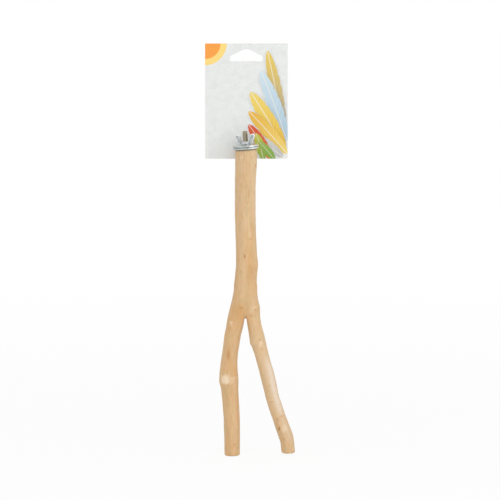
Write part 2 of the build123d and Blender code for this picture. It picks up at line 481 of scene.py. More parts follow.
# %% [markdown]
# The remesh fills the narrow end of the crotch, where the gap is thinner than a square or two. It
# is opened again as with a grab brush: skin that faces into the gap is pulled up and apart, most of
# all at the end of the gap. Seen from the side, a real fork thins towards its legs without a
# shoulder, so the depth is eased in over the last stretch of the trunk.

# %% Crotch
CROTCH_PULL = 1.3 * MM
CROTCH_PART = 0.3 * MM
CROTCH_REACH = 11 * MM
CROTCH_HALF = 2.6 * MM
CROTCH_LIP = 2 * MM
FORK_THINNING = 0.13
THIN_FROM = 42 * MM
THIN_END = -12 * MM

from_seam = points[:, 0] - CROTCH.x
into_gap = np.clip(-outward[:, 0] * np.sign(from_seam), 0, 1) + np.clip(-outward[:, 2], 0, 1)
near_end = rise(height - CROTCH.z, -CROTCH_REACH, 0) * (height < CROTCH.z + CROTCH_LIP)
grabbed = np.clip(into_gap, 0, 1) * near_end * hill(from_seam, 0, CROTCH_HALF)
points[:, 2] += CROTCH_PULL * grabbed
points[:, 0] += CROTCH_PART * grabbed * np.sign(from_seam)
height = points[:, 2]
thins = rise(height - CROTCH.z, THIN_FROM, CROTCH_LIP)
thins *= 1 - rise(height - CROTCH.z, CROTCH_LIP, THIN_END)
points[:, 1] *= 1 - FORK_THINNING * thins
print("crotch pulled by up to", round(CROTCH_PULL * grabbed.max() / MM, 2), "mm")

# %% [markdown]
# Waves and facets: a drawknife leaves long shallow flats, so the noise is read with the height
# squeezed, which stretches it along the limb. The plain noise of mathutils is the same on every run.

# %% Waves along the limbs
FACET_DEPTH = 0.22 * MM
LUMP_DEPTH = 0.14 * MM
FACET_WIDTH = 5.5 * MM
FACET_LENGTH = 60 * MM
LUMP_SIZE = 9 * MM
LUMP_SHIFT = 7

facets = np.array([
    noise.noise((x / FACET_WIDTH, y / FACET_WIDTH, z / FACET_LENGTH)) for x, y, z in grain
])
lumps = np.array([
    noise.noise((x / LUMP_SIZE + LUMP_SHIFT, y / LUMP_SIZE, z / LUMP_SIZE)) for x, y, z in grain
])
waves = FACET_DEPTH * facets + LUMP_DEPTH * lumps
points = points + outward * waves[:, None]
print("waves in mm:", round(waves.min() / MM, 2), "to", round(waves.max() / MM, 2))

# %% [markdown]
# A node is where a twig once grew: the limb swells above it and drops away sharply below. Each one
# here is given by its limb, the side it faces, its height, its swell and its two slopes. Sculpting
# would do as well by hand, but a short list can be read and changed. A negative swell is a hollow.

# %% Nodes
# limb, direction that the node faces, height, swell, slope above and slope below, in mm
NODES = [
    ("left_leg", (-1, -0.35), -231.4, 0.5, 9.0, 1.6),
    ("left_leg", (-0.2, -1), -230.8, 0.45, 7.0, 0.9),
    ("left_leg", (1, -0.4), -223, 0.3, 4.0, 3.0),
    ("left_leg", (0.2, 1), -262, 0.5, 6.0, 3.0),
    ("right_leg", (-1, -0.2), -192.2, 0.55, 7.0, 1.5),
    ("right_leg", (0.6, -0.8), -188, 0.35, 4.0, 4.0),
    ("right_leg", (1, 0), -243, -0.4, 5.0, 5.0),
    ("right_leg", (-0.5, -1), -274, 0.25, 4.0, 3.0),
    ("trunk", (1, -0.2), -114, 0.3, 6.0, 5.0),
    ("trunk", (1, -0.3), -156, 0.5, 5.0, 4.0),
    ("trunk", (-1, 0), -133, 0.5, 5.0, 5.0),
    ("trunk", (1, 0), -137.5, 0.4, 5.0, 4.0),
    ("trunk", (-0.3, 1), -64, 0.45, 6.0, 3.5),
]
limb_of = np.where(below, np.where(on_left, "left_leg", "right_leg"), "trunk")
for limb, side, level, swell, above, under in NODES:
    away_from_node = height / MM - level
    bump = hill(away_from_node, 0, np.where(away_from_node > 0, above, under))
    facing = np.clip(outward[:, :2] @ Vector(side).normalized(), 0, 1) ** 2
    points += outward * (swell * MM * bump * facing * (limb_of == limb))[:, None]
print("nodes:", len(NODES))

# %% [markdown]
# Knots: a small dark eye, with a lip round it and a pit in it. They could be painted alone, but a
# low lamp and the exported mesh would show smooth wood there, so each one is pressed into the skin
# and also stores how dark it is. A long one is a streak where the bark bruised the wood. Fresh cuts
# are pale, where the knife went deeper; a noise frays their outline, because a knife leaves no neat
# discs.

# %% Places of the knots
# x and height of the middle, half width and half height in mm, darkness; seen from the front
KNOTS = [
    (-1.2, -105.3, 0.8, 2.1, 0.9),
    (-5.4, -120.3, 0.8, 1.0, 0.4),
    (8.9, -118.1, 0.9, 1.1, 0.4),
    (1.6, -117.4, 0.5, 0.6, 0.3),
    (4.3, -88.7, 1.4, 0.7, 0.4),
    (6.3, -84.5, 0.5, 1.3, 0.35),
    (5.5, -9.3, 0.9, 0.9, 0.45),
    (9.8, -17.7, 0.9, 1.5, 0.6),
    (0.9, -52.9, 0.9, 0.7, 0.3),
    (0.0, -37.8, 0.9, 1.6, 0.3),
    (-4.8, -36.0, 0.7, 1.8, 0.25),
    (7.9, -44.2, 0.6, 2.2, 0.3),
    (-4.9, -155.9, 2.3, 1.3, 0.5),
    (9.2, -157.8, 0.8, 0.9, 0.65),
    (4.6, -163.8, 2.1, 1.2, 0.4),
    (-0.4, -165.4, 0.7, 1.0, 0.7),
    (-17.1, -177.0, 0.8, 1.6, 0.25),
    (-17.3, -202.4, 2.3, 7.2, 0.56),
    (-10.4, -222.7, 1.6, 0.6, 0.5),
    (-9.6, -217.5, 0.9, 3.5, 0.25),
    (-10.0, -228.6, 1.3, 2.6, 0.3),
    (-11.7, -290.6, 0.8, 1.4, 0.55),
    (13.2, -187.0, 0.6, 0.6, 0.95),
    (15.3, -196.6, 1.3, 1.0, 0.3),
    (22.6, -232.0, 0.6, 1.3, 0.35),
    (25.5, -247.8, 1.6, 0.7, 0.35),
    (30.4, -265.0, 0.8, 1.5, 0.5),
    (34.8, -262.4, 1.9, 0.9, 0.4),
    (32.2, -274.4, 0.9, 2.3, 0.95),
    (37.0, -285.2, 1.0, 1.3, 0.5),
]
# the same for the side that faces the card
BACK_KNOTS = [
    (3.0, -24.0, 0.9, 1.4, 0.6),
    (-4.5, -63.5, 1.2, 1.6, 0.9),
    (5.2, -97.0, 0.8, 1.2, 0.5),
    (-2.0, -131.0, 0.7, 2.4, 0.45),
    (-12.6, -189.0, 0.9, 1.2, 0.55),
    (-14.0, -262.5, 1.4, 1.6, 0.9),
    (11.6, -205.0, 0.8, 1.8, 0.5),
    (27.5, -247.0, 0.9, 1.1, 0.6),
    (38.5, -281.0, 0.6, 1.2, 0.45),
]
print("knots:", len(KNOTS), "in front and", len(BACK_KNOTS), "behind")

# %% Knots
KNOT_LIP = 0.16 * MM
KNOT_PIT = 0.30 * MM
LIP_PLACE = 1.7
LIP_HALF = 0.7
OUT_OF_REACH = 99.0

dark = np.zeros(len(points))
rest = points / MM


def mark_at(x, level, half_width, half_height, facing, squareness=2.0):
    """How far each point is from a mark's middle, 1 at its edge, on the side that faces a way."""
    across = np.abs(rest[:, 0] - x) / half_width
    along = np.abs(rest[:, 2] - level) / half_height
    reach = (across**squareness + along**squareness) ** (1 / squareness)
    return np.where(outward[:, 1] * facing > 0, reach, OUT_OF_REACH)


for facing, knots in ((-1, KNOTS), (1, BACK_KNOTS)):
    for x, level, half_width, half_height, darkness in knots:
        reach = mark_at(x, level, half_width, half_height, facing)
        eye = hill(reach, 0, 1)
        lip = hill(reach, LIP_PLACE, LIP_HALF)
        points += outward * (darkness * (KNOT_LIP * lip - KNOT_PIT * eye))[:, None]
        dark = np.maximum(dark, darkness * eye)
print("points in the eye of a knot:", int((dark > 0.2).sum()))

# %% Fresh cuts
# x and height of the middle, half width and half height in mm, paleness, squareness
CUTS = [
    (-3.9, -9.0, 2.6, 1.3, 0.3, 2.0),
    (4.4, -84.6, 2.6, 3.2, 0.22, 2.0),
    (0.5, -105.2, 0.8, 2.4, 0.3, 2.0),
    (8.3, -155.4, 1.9, 1.6, 0.35, 2.0),
    (6.4, -157.0, 2.6, 4.8, 0.22, 2.0),
    (-14.4, -170.6, 2.2, 2.2, 0.6, 2.0),
    (-13.6, -173.6, 1.2, 1.0, 0.5, 2.0),
    (-20.0, -226.4, 4.6, 5.0, 1.0, 4.0),
    (-13.6, -227.0, 5.4, 4.6, 0.36, 4.0),
    (14.8, -190.4, 2.0, 2.6, 0.7, 2.0),
    (13.6, -192.6, 1.6, 1.4, 0.45, 2.0),
    (25.1, -246.0, 2.0, 0.8, 0.5, 2.0),
    (37.6, -274.2, 3.0, 4.2, 0.55, 2.0),
]
CUT_DEPTH = 0.22 * MM
CUT_EDGE = (0.45, 1.2)
FRAY = 0.45
FRAY_SIZE = (1.6, 1.6, 3.2)

pale = np.zeros(len(points))
fray = np.array([noise.noise(place) for place in rest / FRAY_SIZE])
for x, level, half_width, half_height, paleness, squareness in CUTS:
    reach = mark_at(x, level, half_width, half_height, -1, squareness) + FRAY * fray
    flat = 1 - rise(reach, *CUT_EDGE)
    points -= outward * (CUT_DEPTH * paleness * flat)[:, None]
    pale = np.maximum(pale, paleness * flat)
write_skin(branch, points)
print("cuts:", len(CUTS))

# %% [markdown]
# The wood isn't one colour all over. The right leg was peeled to the pale sapwood along one side,
# and that stripe faces the lamps at the right, so it is partly sapwood and partly a painted
# highlight. Painted light brightens a stripe on the trunk, its right edge and shoulder and the right
# leg. The trunk also has a warm stripe, and wood at the fork and down the left leg is warmer. A
# painted shadow darkens the wood just under the washer. An image could hold all this, but the skin
# has no seams to unwrap along, so each zone is stored on the vertices, beside the knots, the cuts and
# the grain's place. Sawn ends are found by their direction: only they face straight up or down. The
# grain's place is shifted by a slow vector noise, so that the fibres wander a little. That noise
# would start from the clock, so it gets a seed first.

# %% Places of the zones
# heights in mm between which a zone comes in or goes out
LIT_SAPWOOD_TOP = (-196, -218)
LIT_SAPWOOD_FADE = (-252, -266)
LIT_SAPWOOD_END = (-280, -290)
WARM_TOP = (-40, -130)
# heights of the painted light on the trunk's right edge and on the right leg
LIT_EDGE_END = (-62, -82)
LIT_LEG_TOP = (-176, -190)
LIT_LEG_END = (-256, -270)
# shares, turns round the limb, and places across the front in mm
# the right leg's stripe of sapwood and painted highlight: its share, what is left at its end, its turn
# towards the lamps at the right, its half width and its fray
LIT_SAPWOOD_SHARE = 0.9
LIT_SAPWOOD_LEFT = 0.25
LIT_SAPWOOD_TURN = math.radians(36)
LIT_SAPWOOD_HALF = math.radians(33)
LIT_SAPWOOD_FRAY = (0.9, 0.6)
WARM_LIMBS = {"trunk": 0.3, "left_leg": 0.34, "right_leg": 0.05}
# share of painted light on the right leg; share, x and half width of painted light along the trunk's
# right edge
LIT_LEG = 0.4
LIT_EDGE = (0.7, 7.8, 3.0)
# share, x and half width, height and half height in mm
WARM_FORK = (0.95, -6, 9, -161, 13)
WARM_STRIPE = (0.46, 4.2, 3.4, -108, 27)
# ovals of painted light on the trunk's front and on its right shoulder
LIT_STRIPE = (0.75, -2.6, 3.6, -131, 24)
LIT_SHOULDER = (0.5, 6.5, 5, -151, 13)
print("the sapwood starts at", LIT_SAPWOOD_TOP[0], "mm, and the warm wood at", WARM_TOP[0], "mm")

# %% Zones of colour


def oval(share, x, half_width, level, half_height):
    """A soft oval of a share, placed as in the front view."""
    return share * hill(rest[:, 0], x, half_width) * hill(rest[:, 2], level, half_height)


level = rest[:, 2]
on_limb = {limb: limb_of == limb for limb in WARM_LIMBS}
in_front = outward[:, 1] < 0
turn = np.arctan2(outward[:, 0], -outward[:, 1])
# the right leg's pale stripe faces the lamps at the right: partly pale sapwood, partly a painted
# highlight
sapwood = LIT_SAPWOOD_SHARE * hill(turn, LIT_SAPWOOD_TURN, LIT_SAPWOOD_HALF) * on_limb["right_leg"]
sapwood *= np.clip(LIT_SAPWOOD_FRAY[0] + LIT_SAPWOOD_FRAY[1] * fray, 0, 1) * rise(level, *LIT_SAPWOOD_TOP)
sapwood *= 1 - (1 - LIT_SAPWOOD_LEFT) * rise(level, *LIT_SAPWOOD_FADE) - LIT_SAPWOOD_LEFT * rise(level, *LIT_SAPWOOD_END)
warm = sum(share * on_limb[limb] for limb, share in WARM_LIMBS.items())
warm *= np.where(on_limb["trunk"], rise(level, *WARM_TOP), 1)
warm = np.maximum(warm, oval(*WARM_FORK)) + oval(*WARM_STRIPE) * in_front
edge_share, edge_x, edge_half = LIT_EDGE
lit_edge = edge_share * hill(rest[:, 0], edge_x, edge_half) * (1 - rise(level, *LIT_EDGE_END))
# painted light: brighter zones on the trunk's front, its right edge and shoulder, and down the right leg
light = np.maximum.reduce([oval(*LIT_STRIPE), oval(*LIT_SHOULDER), lit_edge]) * in_front
lit_leg = rise(level, *LIT_LEG_TOP) * (1 - rise(level, *LIT_LEG_END)) * on_limb["right_leg"]
light = np.maximum(light, LIT_LEG * lit_leg)
print("sapwood points:", int((sapwood > 0.5).sum()), "warm points:", int((warm > 0.5).sum()))

# %% Stored values
WANDER = 1.1 * MM
WANDER_SIZE = (9 * MM, 9 * MM, 26 * MM)
WANDER_SEED = 3
SEAT_DEPTH = 1.5 * MM
# below the seat, where the painted shadow under the washer is full and where it has faded
WASHER_SHADOW_REACH = (1.0 * MM, 1.9 * MM)
SAWN = (0.8, 0.95)

noise.seed_set(WANDER_SEED)
wander = np.array([noise.noise_vector(place) for place in grain / WANDER_SIZE])
grain[:, :2] += WANDER * wander[:, :2]
under_washer = -(points @ np.array(STUD_AXIS)) - SEAT_DEPTH
paint(branch, "grain", grain, "FLOAT_VECTOR")
stored = {
    "knot_dark": dark,
    "fresh_pale": pale,
    "sapwood": sapwood,
    "warm_wood": warm,
    "lit_wood": light,
    "sawn_end": rise(np.abs(outward[:, 2]), *SAWN),
    # painted shadow: a dark ring on the wood just under the washer, where its overhang shades it
    "washer_shadow": 1 - rise(under_washer, *WASHER_SHADOW_REACH),
}
for name, values in stored.items():
    paint(branch, name, values)
print("stored on the branch:", ", ".join(stored))

# %% [markdown]
# ## Wood finish
# Bare peeled wood is pale tan. A picture of grain would stretch over the fork, so the tone comes
# from four noises that are drawn out along the limb: broad bands, streaks, lines and fine fibres,
# all of low contrast. Three rounder noises lay on patches, a blush and freckles. The stored zones
# come on top: stripes of painted light, a warm stripe, a sapwood stripe that holds a painted
# highlight, cream cuts, brown knots, and a painted shadow under the washer. The sawn ends get wobbly
# rings round the limb's centre, pores and saw marks.

# %% Wood colours
TAN = (0.72, 0.489, 0.267)
DEEP_TAN = (0.615, 0.392, 0.193)
LIGHT_TAN = (0.78, 0.565, 0.338)
ORANGE_TAN = (0.728, 0.441, 0.198)
ROSY_TAN = (0.757, 0.485, 0.30)
OLIVE_TAN = (0.64, 0.485, 0.262)
FORK_WARMTH = (0.965, 0.815, 0.60)
CREAM = (0.88, 0.69, 0.475)
LIT_SAPWOOD = (0.835, 0.705, 0.565)
KNOT_RUST = (0.60, 0.31, 0.115)
KNOT_BROWN = (0.34, 0.155, 0.05)
# grey of the painted shadow under the washer
WASHER_SHADOW_GREY = (0.17, 0.155, 0.13)
# how often each noise repeats in a metre across and along the limb, its detail and roughness
WOOD_NOISES = {
    "bands": (150, 16, 3, 0.5),
    "streaks": (480, 42, 4, 0.6),
    "lines": (1150, 85, 2, 0.5),
    "fibres": (2600, 150, 3, 0.5),
    "patches": (130, 50, 4, 0.6),
    "blush": (310, 120, 3, 0.6),
    "freckles": (700, 320, 2, 0.5),
}
TONE_WEIGHTS = {"bands": 0.34, "streaks": 0.30, "lines": 0.46, "fibres": 0.30}
# what drives a tint, where it starts and where it is full, its greatest share and its colour
TINTS = [
    ("patches", 0.52, 0.70, 0.75, ORANGE_TAN),
    ("patches", 0.46, 0.30, 0.65, OLIVE_TAN),
    # painted light
    ("lit_wood", 0.0, 1.0, 1.0, LIGHT_TAN),
    ("blush", 0.53, 0.70, 0.80, ROSY_TAN),
    ("blush", 0.46, 0.30, 0.60, OLIVE_TAN),
    ("freckles", 0.62, 0.74, 0.70, DEEP_TAN),
    ("warm_wood", 0.0, 1.0, 1.0, FORK_WARMTH),
    # pale sapwood with a painted highlight
    ("sapwood", 0.0, 1.0, 1.0, LIT_SAPWOOD),
    ("fresh_pale", 0.0, 1.0, 1.0, CREAM),
    ("knot_dark", 0.0, 0.5, 0.75, KNOT_RUST),
    ("knot_dark", 0.4, 0.95, 0.90, KNOT_BROWN),
    # painted shadow under the washer
    ("washer_shadow", 0.0, 1.0, 0.75, WASHER_SHADOW_GREY),
]
print("noises:", len(WOOD_NOISES), "tints:", len(TINTS))

# %% Wood tone
peeled_wood, tree, shader = new_material("peeled_wood")
along_limb = painted(tree, "grain", "Vector")
drivers = {name: painted(tree, name) for name in stored}
for name, (across, along, detail, roughness) in WOOD_NOISES.items():
    stretched = scaled(tree, along_limb, (across, across, along))
    drivers[name] = cloud(tree, stretched, detail=detail, roughness=roughness)
tone = weigh(tree, *((drivers[name], weight) for name, weight in TONE_WEIGHTS.items()))
colour = ramp(tree, tone, (0.53, DEEP_TAN), (0.70, TAN), (0.86, LIGHT_TAN))
for name, start, full, most, tint in TINTS:
    how = "MULTIPLY" if tint is FORK_WARMTH else "MIX"
    colour = blend_colours(tree, remap(tree, drivers[name], start, full, 0, most), colour, tint, how)
print("wood tone:", len(tree.nodes), "nodes")

# %% Sawn ends and gloss
END_TAN = (0.64, 0.45, 0.27)
END_DARK = (0.49, 0.31, 0.165)
RING_GAP = 1.5 * MM
RING_WOBBLE = 5 * MM
WOBBLE_SCALE = 110
PATCH_SCALE = 190
PORE_SCALE = 2400
PORE_WEIGHT = 0.5
SAW_STRETCH = (1300, 240, 0)
SAW_WEIGHT = 0.7
WOOD_ROUGHNESS = (0.48, 0.62)
WOOD_RELIEF = (0.25, 0.3 * MM)

flat_place = scaled(tree, along_limb, (1, 1, 0))
from_centre = vector_step(tree, "LENGTH", flat_place)["Value"]
wobble = cloud(tree, flat_place, scale=WOBBLE_SCALE, detail=3)
ring_place = weigh(tree, (from_centre, 1.0), (wobble, RING_WOBBLE))
rings = calculate(tree, "SINE", calculate(tree, "MULTIPLY", ring_place, 2 * math.pi / RING_GAP))
clear_rings = remap(tree, cloud(tree, flat_place, scale=PATCH_SCALE, detail=1), 0.38, 0.64, 0.1, 0.5)
late_wood = calculate(tree, "MULTIPLY", remap(tree, rings, 0.1, 1.0), clear_rings)
pores = cloud(tree, flat_place, scale=PORE_SCALE, detail=1)
saw_marks = cloud(tree, scaled(tree, along_limb, SAW_STRETCH), detail=2)
end_tone = weigh(tree, (pores, PORE_WEIGHT), (saw_marks, SAW_WEIGHT), (late_wood, -1.0))
end_colour = ramp(tree, end_tone, (0.15, END_DARK), (0.68, END_TAN))
colour = blend_colours(tree, drivers["sawn_end"], colour, end_colour)
gloss = remap(tree, drivers["streaks"], *NOISE_RANGE, *WOOD_ROUGHNESS)
set_shader(tree, shader, {"Base Color": colour, "Roughness": gloss, "Specular IOR Level": 0.45})
relief(tree, shader, calculate(tree, "ADD", drivers["fibres"], drivers["streaks"]), *WOOD_RELIEF)
branch.data.materials.append(peeled_wood)
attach(branch, "perch")
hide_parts("forked_branch")
print("branch rides on the perch")

# %% [markdown]
# ## Hanger bolt
# The bolt has a fine machine thread above the wood and a coarse wood screw in it. Rings on a rod
# would pass for a thread from afar, but not at the tip, where a real one runs out. A rolled thread
# is a zigzag that climbs as it turns, so one pitch is drawn by extruding a single vertex, and the
# Screw modifier winds it up the axis. The rod is trimmed at both ends, and then cut to a blank with
# a chamfered tip, as a real blank gives the crests their flats and the tip its lead-in. Stud, shank
# and screw are then fused into one shell, and the slivers that the cuts left are dropped.

# %% Drawing helpers
CUT_THRESHOLD = 0.0001 * MM


def draw_line(name, places):
    """Draw a chain of edges by extruding one vertex from place to place."""
    deselect_all()
    bpy.ops.mesh.primitive_plane_add(size=MM)
    piece = bpy.context.object
    piece.name = name
    bpy.ops.object.mode_set(mode="EDIT")
    bpy.ops.mesh.select_all(action="SELECT")
    bpy.ops.mesh.merge(type="CENTER")
    bpy.ops.transform.translate(value=places[0])
    for start, end in zip(places, places[1:]):
        step = Vector(end) - Vector(start)
        bpy.ops.mesh.extrude_vertices_move(TRANSFORM_OT_translate={"value": step})
    bpy.ops.object.mode_set(mode="OBJECT")
    return piece


def trim(height, keep_below):
    """Cut the active mesh at a height, close the cut and drop what is outside."""
    edit_whole(
        bpy.ops.mesh.bisect,
        plane_co=(0, 0, height),
        plane_no=(0, 0, 1 if keep_below else -1),
        use_fill=True,
        clear_outer=True,
        threshold=CUT_THRESHOLD,
    )


def face_outwards():
    """Merge what meets and turn every face of the active mesh outwards."""
    edit_whole(bpy.ops.mesh.remove_doubles, threshold=MERGE_DISTANCE)
    edit_whole(bpy.ops.mesh.normals_make_consistent, inside=False)


def combine(piece, other, operation):
    """Keep what two solids share (INTERSECT) or fuse them (UNION), then throw the other away."""
    pick(piece)
    apply_modifier(piece, "BOOLEAN", operation=operation, solver="EXACT", object=other)
    bpy.data.objects.remove(other)


def lean_with_stud(piece):
    """Turn a piece made upright so that it stands along the leaning stud."""
    pick(piece)
    piece.rotation_euler = Vector((0, 0, 1)).rotation_difference(STUD_AXIS).to_euler()
    bpy.ops.object.transform_apply(location=True, rotation=True, scale=True)


print("drawing helpers are ready")

# %% Threaded rods
# pitch, radius at the root and radius at the crest
MACHINE_THREAD = (0.8 * MM, 2.03 * MM, 2.56 * MM)
WOOD_THREAD = (2.0 * MM, 1.55 * MM, 2.5 * MM)
# where a tooth starts to rise, reaches its crest and leaves it, as shares of a pitch
TOOTH = (0.08, 0.40, 0.66)
TURN_STEPS = 40
STUD_TOP = 15.4 * MM
SHANK_TOP = -2.0 * MM
SCREW_TOP = -4.0 * MM
SCREW_END = -31.5 * MM
# how far a rod or a blank runs past the place where it is cut
SPARE = 1.0 * MM


def thread_rod(name, thread, bottom, top):
    """A rod with a rolled thread, wound from one pitch and trimmed at both ends."""
    pitch, root, crest = thread
    start = bottom - pitch
    rises, peaks, falls = (start + share * pitch for share in TOOTH)
    rod = draw_line(name, [
        (root, 0, start),
        (root, 0, rises),
        (crest, 0, peaks),
        (crest, 0, falls),
        (root, 0, start + pitch),
    ])
    turns = math.ceil((top - bottom) / pitch) + 2
    apply_modifier(
        rod, "SCREW", axis="Z", screw_offset=pitch, iterations=turns,
        steps=TURN_STEPS, render_steps=TURN_STEPS, use_merge_vertices=True,
    )
    trim(top, True)
    trim(bottom, False)
    face_outwards()
    return rod


stud = thread_rod("hanger_bolt_visual", MACHINE_THREAD, SHANK_TOP, STUD_TOP)
screw = thread_rod("wood_screw_end", WOOD_THREAD, SCREW_END - SPARE, SCREW_TOP)
print("stud:", len(stud.data.polygons), "screw:", len(screw.data.polygons), "faces")

# %% Blanks
STUD_RADIUS = 2.5 * MM
TIP_LENGTH = 0.7 * MM
TIP_INSET = 0.6 * MM
TIP_TRIM = 0.08 * MM
SCREW_RADIUS = 2.45 * MM
SCREW_TAPER = 6 * MM
SHANK_RADIUS = 2.2 * MM
SHANK_OVERLAP = 0.5 * MM
BLANK_STEPS = 72
SHANK_STEPS = 48


def lathe(name, places, steps):
    """Spin a drawn half section once round the upright axis."""
    piece = draw_line(name, places)
    edit_whole(bpy.ops.mesh.spin, steps=steps, angle=2 * math.pi, center=(0, 0, 0), axis=(0, 0, 1))
    face_outwards()
    return piece


stud_blank = lathe("stud_blank", [
    (0, 0, SHANK_TOP - SPARE),
    (STUD_RADIUS, 0, SHANK_TOP - SPARE),
    (STUD_RADIUS, 0, STUD_TOP - TIP_LENGTH),
    (STUD_RADIUS - TIP_INSET, 0, STUD_TOP - TIP_TRIM),
    (0, 0, STUD_TOP - TIP_TRIM),
], BLANK_STEPS)
combine(stud, stud_blank, "INTERSECT")
screw_blank = lathe("screw_blank", [
    (0, 0, SCREW_END),
    (SCREW_RADIUS, 0, SCREW_END + SCREW_TAPER),
    (SCREW_RADIUS, 0, SCREW_TOP + SPARE),
    (0, 0, SCREW_TOP + SPARE),
], BLANK_STEPS)
combine(screw, screw_blank, "INTERSECT")
shank = lathe("shank", [
    (0, 0, SCREW_TOP - SHANK_OVERLAP),
    (SHANK_RADIUS, 0, SCREW_TOP - SHANK_OVERLAP),
    (SHANK_RADIUS, 0, SHANK_TOP + SHANK_OVERLAP),
    (0, 0, SHANK_TOP + SHANK_OVERLAP),
], SHANK_STEPS)
print("cut to the blanks:", len(stud.data.polygons), "and", len(screw.data.polygons), "faces")

# %% Hanger bolt
combine(stud, shank, "UNION")
combine(stud, screw, "UNION")
drop_slivers(stud)
lean_with_stud(stud)
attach(stud, "perch")
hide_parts("hanger_bolt")
print("hanger bolt stands along", [round(c, 3) for c in STUD_AXIS])

# %% [markdown]
# ## Washers
# A stamped washer has one rounded edge where the punch went in and one square edge. A bevelled
# cylinder would have both edges alike, so the half section is drawn, with a few points round its
# upper corner, and spun. Both washers come from that one section, each at its height on the stud.

# %% Washers
WASHER_RADIUS = 12.5 * MM
WASHER_BORE = 2.8 * MM
WASHER_THICK = 1.5 * MM
PUNCH_ROUND = 0.45 * MM
EDGE_BREAK = 0.12 * MM
WASHER_STEPS = 128
WASHER_EDGE = math.radians(40)
OUTER_SEAT = 0.5 * MM


def washer_section(low):
    """Half section of a washer whose underside is at a height."""
    high = low + WASHER_THICK
    soft = PUNCH_ROUND
    rounded = [
        (WASHER_RADIUS - soft + soft * math.sin(turn), 0, high - soft + soft * math.cos(turn))
        for turn in (math.pi / 2, math.pi / 3, math.pi / 6, 0)
    ]
    return [
        (WASHER_BORE + EDGE_BREAK, 0, low),
        (WASHER_RADIUS - EDGE_BREAK, 0, low),
        (WASHER_RADIUS, 0, low + EDGE_BREAK),
        *rounded,
        (WASHER_BORE + soft, 0, high),
        (WASHER_BORE, 0, high - soft),
        (WASHER_BORE, 0, low + EDGE_BREAK),
        (WASHER_BORE + EDGE_BREAK, 0, low),
    ]


def make_washer(name, low, body, node):
    """One washer, in its place along the stud."""
    washer = lathe(name, washer_section(low), WASHER_STEPS)
    bpy.ops.object.shade_smooth_by_angle(angle=WASHER_EDGE)
    lean_with_stud(washer)
    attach(washer, body)
    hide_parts(node)
    return washer


washers = [
    make_washer("inner_washer_visual", -WASHER_THICK, "perch", "inner_washer"),
    make_washer("outer_washer_visual", OUTER_SEAT, "clamp_washer", "outer_washer"),
]
print("washers:", [len(washer.data.polygons) for washer in washers])

# %% [markdown]
# ## Wing nut
# The nut is cast, so no edge on it is sharp. A bevel would round each edge of the CAD copy by itself;
# a fine remesh and smoothing melt hub and wings together instead, as a casting does. The real nut's
# hub is lower than the CAD hub, so its top is then pressed down along the stud.

# %% Wing nut
NUT_VOXEL = 0.17 * MM
CASTING_ROUNDS = 8
NUT_SEAT = 2.0 * MM
HUB_DROP = 1.2 * MM
HUB_RISE = (1.4 * MM, 3.4 * MM)
HUB_EDGE = (3.9 * MM, 5.7 * MM)

nut = even_skin("wing_nut", "wing_nut_visual", NUT_VOXEL, CASTING_ROUNDS)
points, outward = read_skin(nut)
axis = np.array(STUD_AXIS)
up_stud = points @ axis
from_axis = np.linalg.norm(points - np.outer(up_stud, axis), axis=1)
above_seat = up_stud - NUT_SEAT
lowered = rise(above_seat, *HUB_RISE) * (1 - rise(from_axis, *HUB_EDGE))
write_skin(nut, points - np.outer(HUB_DROP * lowered, axis))
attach(nut, "wing_nut")
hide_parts("wing_nut")
print("wing nut:", len(nut.data.polygons), "faces")

# %% [markdown]
# ## Plated finishes
# Zinc plate is a greyish, slightly cloudy silver. One noise varies its tone and its roughness, and a
# fine one gives a faint orange peel. The washers' rims get painted shade on their left, and painted
# shade darkens the nut's foot where it sits on the washer. Handling polishes what stands out, so the
# rims of the cast nut are painted bright, which also stands in for highlights on them, and its flats
# are dull. Pointiness is only a thin line on so fine a mesh, so what stands out is measured: a
# vertex on a rim lies further out than the mean of its neighbours, and a few rounds of averaging
# widen the result.

# %% Worn rims and painted rim highlights
RIM_ROUNDS = 7
RIM_FULL = 0.008 * MM
FOOT_RISE = (0.3 * MM, 2.0 * MM)


def stands_out(piece, rounds):
    """How far each vertex stands out from its neighbours, averaged over a few rounds."""
    points, outward = read_skin(piece)
    ends = np.empty(2 * len(piece.data.edges), dtype=np.int64)
    piece.data.edges.foreach_get("vertices", ends)
    one, other = ends.reshape(-1, 2).T
    friends = np.bincount(one, minlength=len(points)) + np.bincount(other, minlength=len(points))

    def mean_of_friends(values):
        """The mean of a value over each vertex's neighbours."""
        total = np.zeros(len(points))
        np.add.at(total, one, values[other])
        np.add.at(total, other, values[one])
        return total / friends

    around = np.column_stack([mean_of_friends(points[:, side]) for side in range(3)])
    result = np.sum((points - around) * outward, axis=1)
    for _ in range(rounds):
        result = (result + mean_of_friends(result)) / 2
    return result


standing_out = stands_out(nut, RIM_ROUNDS)
# the rims are painted bright: partly wear from handling, partly painted highlights along them
paint(nut, "worn_and_lit_rim", rise(standing_out, 0, RIM_FULL))
# painted shade at the nut's foot, where it sits on the washer
paint(nut, "painted_foot_shade", 1 - rise(above_seat, *FOOT_RISE))
print("nut stands out by up to", round(standing_out.max() / MM, 4), "mm")

# %% Zinc finishes
ZINC_DARK = (0.62, 0.655, 0.65)
ZINC_LIGHT = (0.80, 0.84, 0.825)
RIM_SHADE = (0.385, 0.43, 0.415)
CAST_DARK = (0.305, 0.335, 0.34)
CAST_LIGHT = (0.53, 0.565, 0.57)
# colour of the worn rims, which also stand in for highlights
POLISHED_AND_LIT = (0.92, 0.93, 0.94)
# colour of the painted shade at the nut's foot
FOOT_SHADE = (0.10, 0.105, 0.11)
# share and side of the painted shade on the washers' rims
RIM_SHADE_SHARE = 0.9
RIM_SHADE_SIDE = (11 * MM, -4 * MM)
FOOT_SHADE_SHARE = 0.6
ZINC_ROUGHNESS = (0.52, 0.38)
ZINC_RELIEF = (0.05, 0.1 * MM)


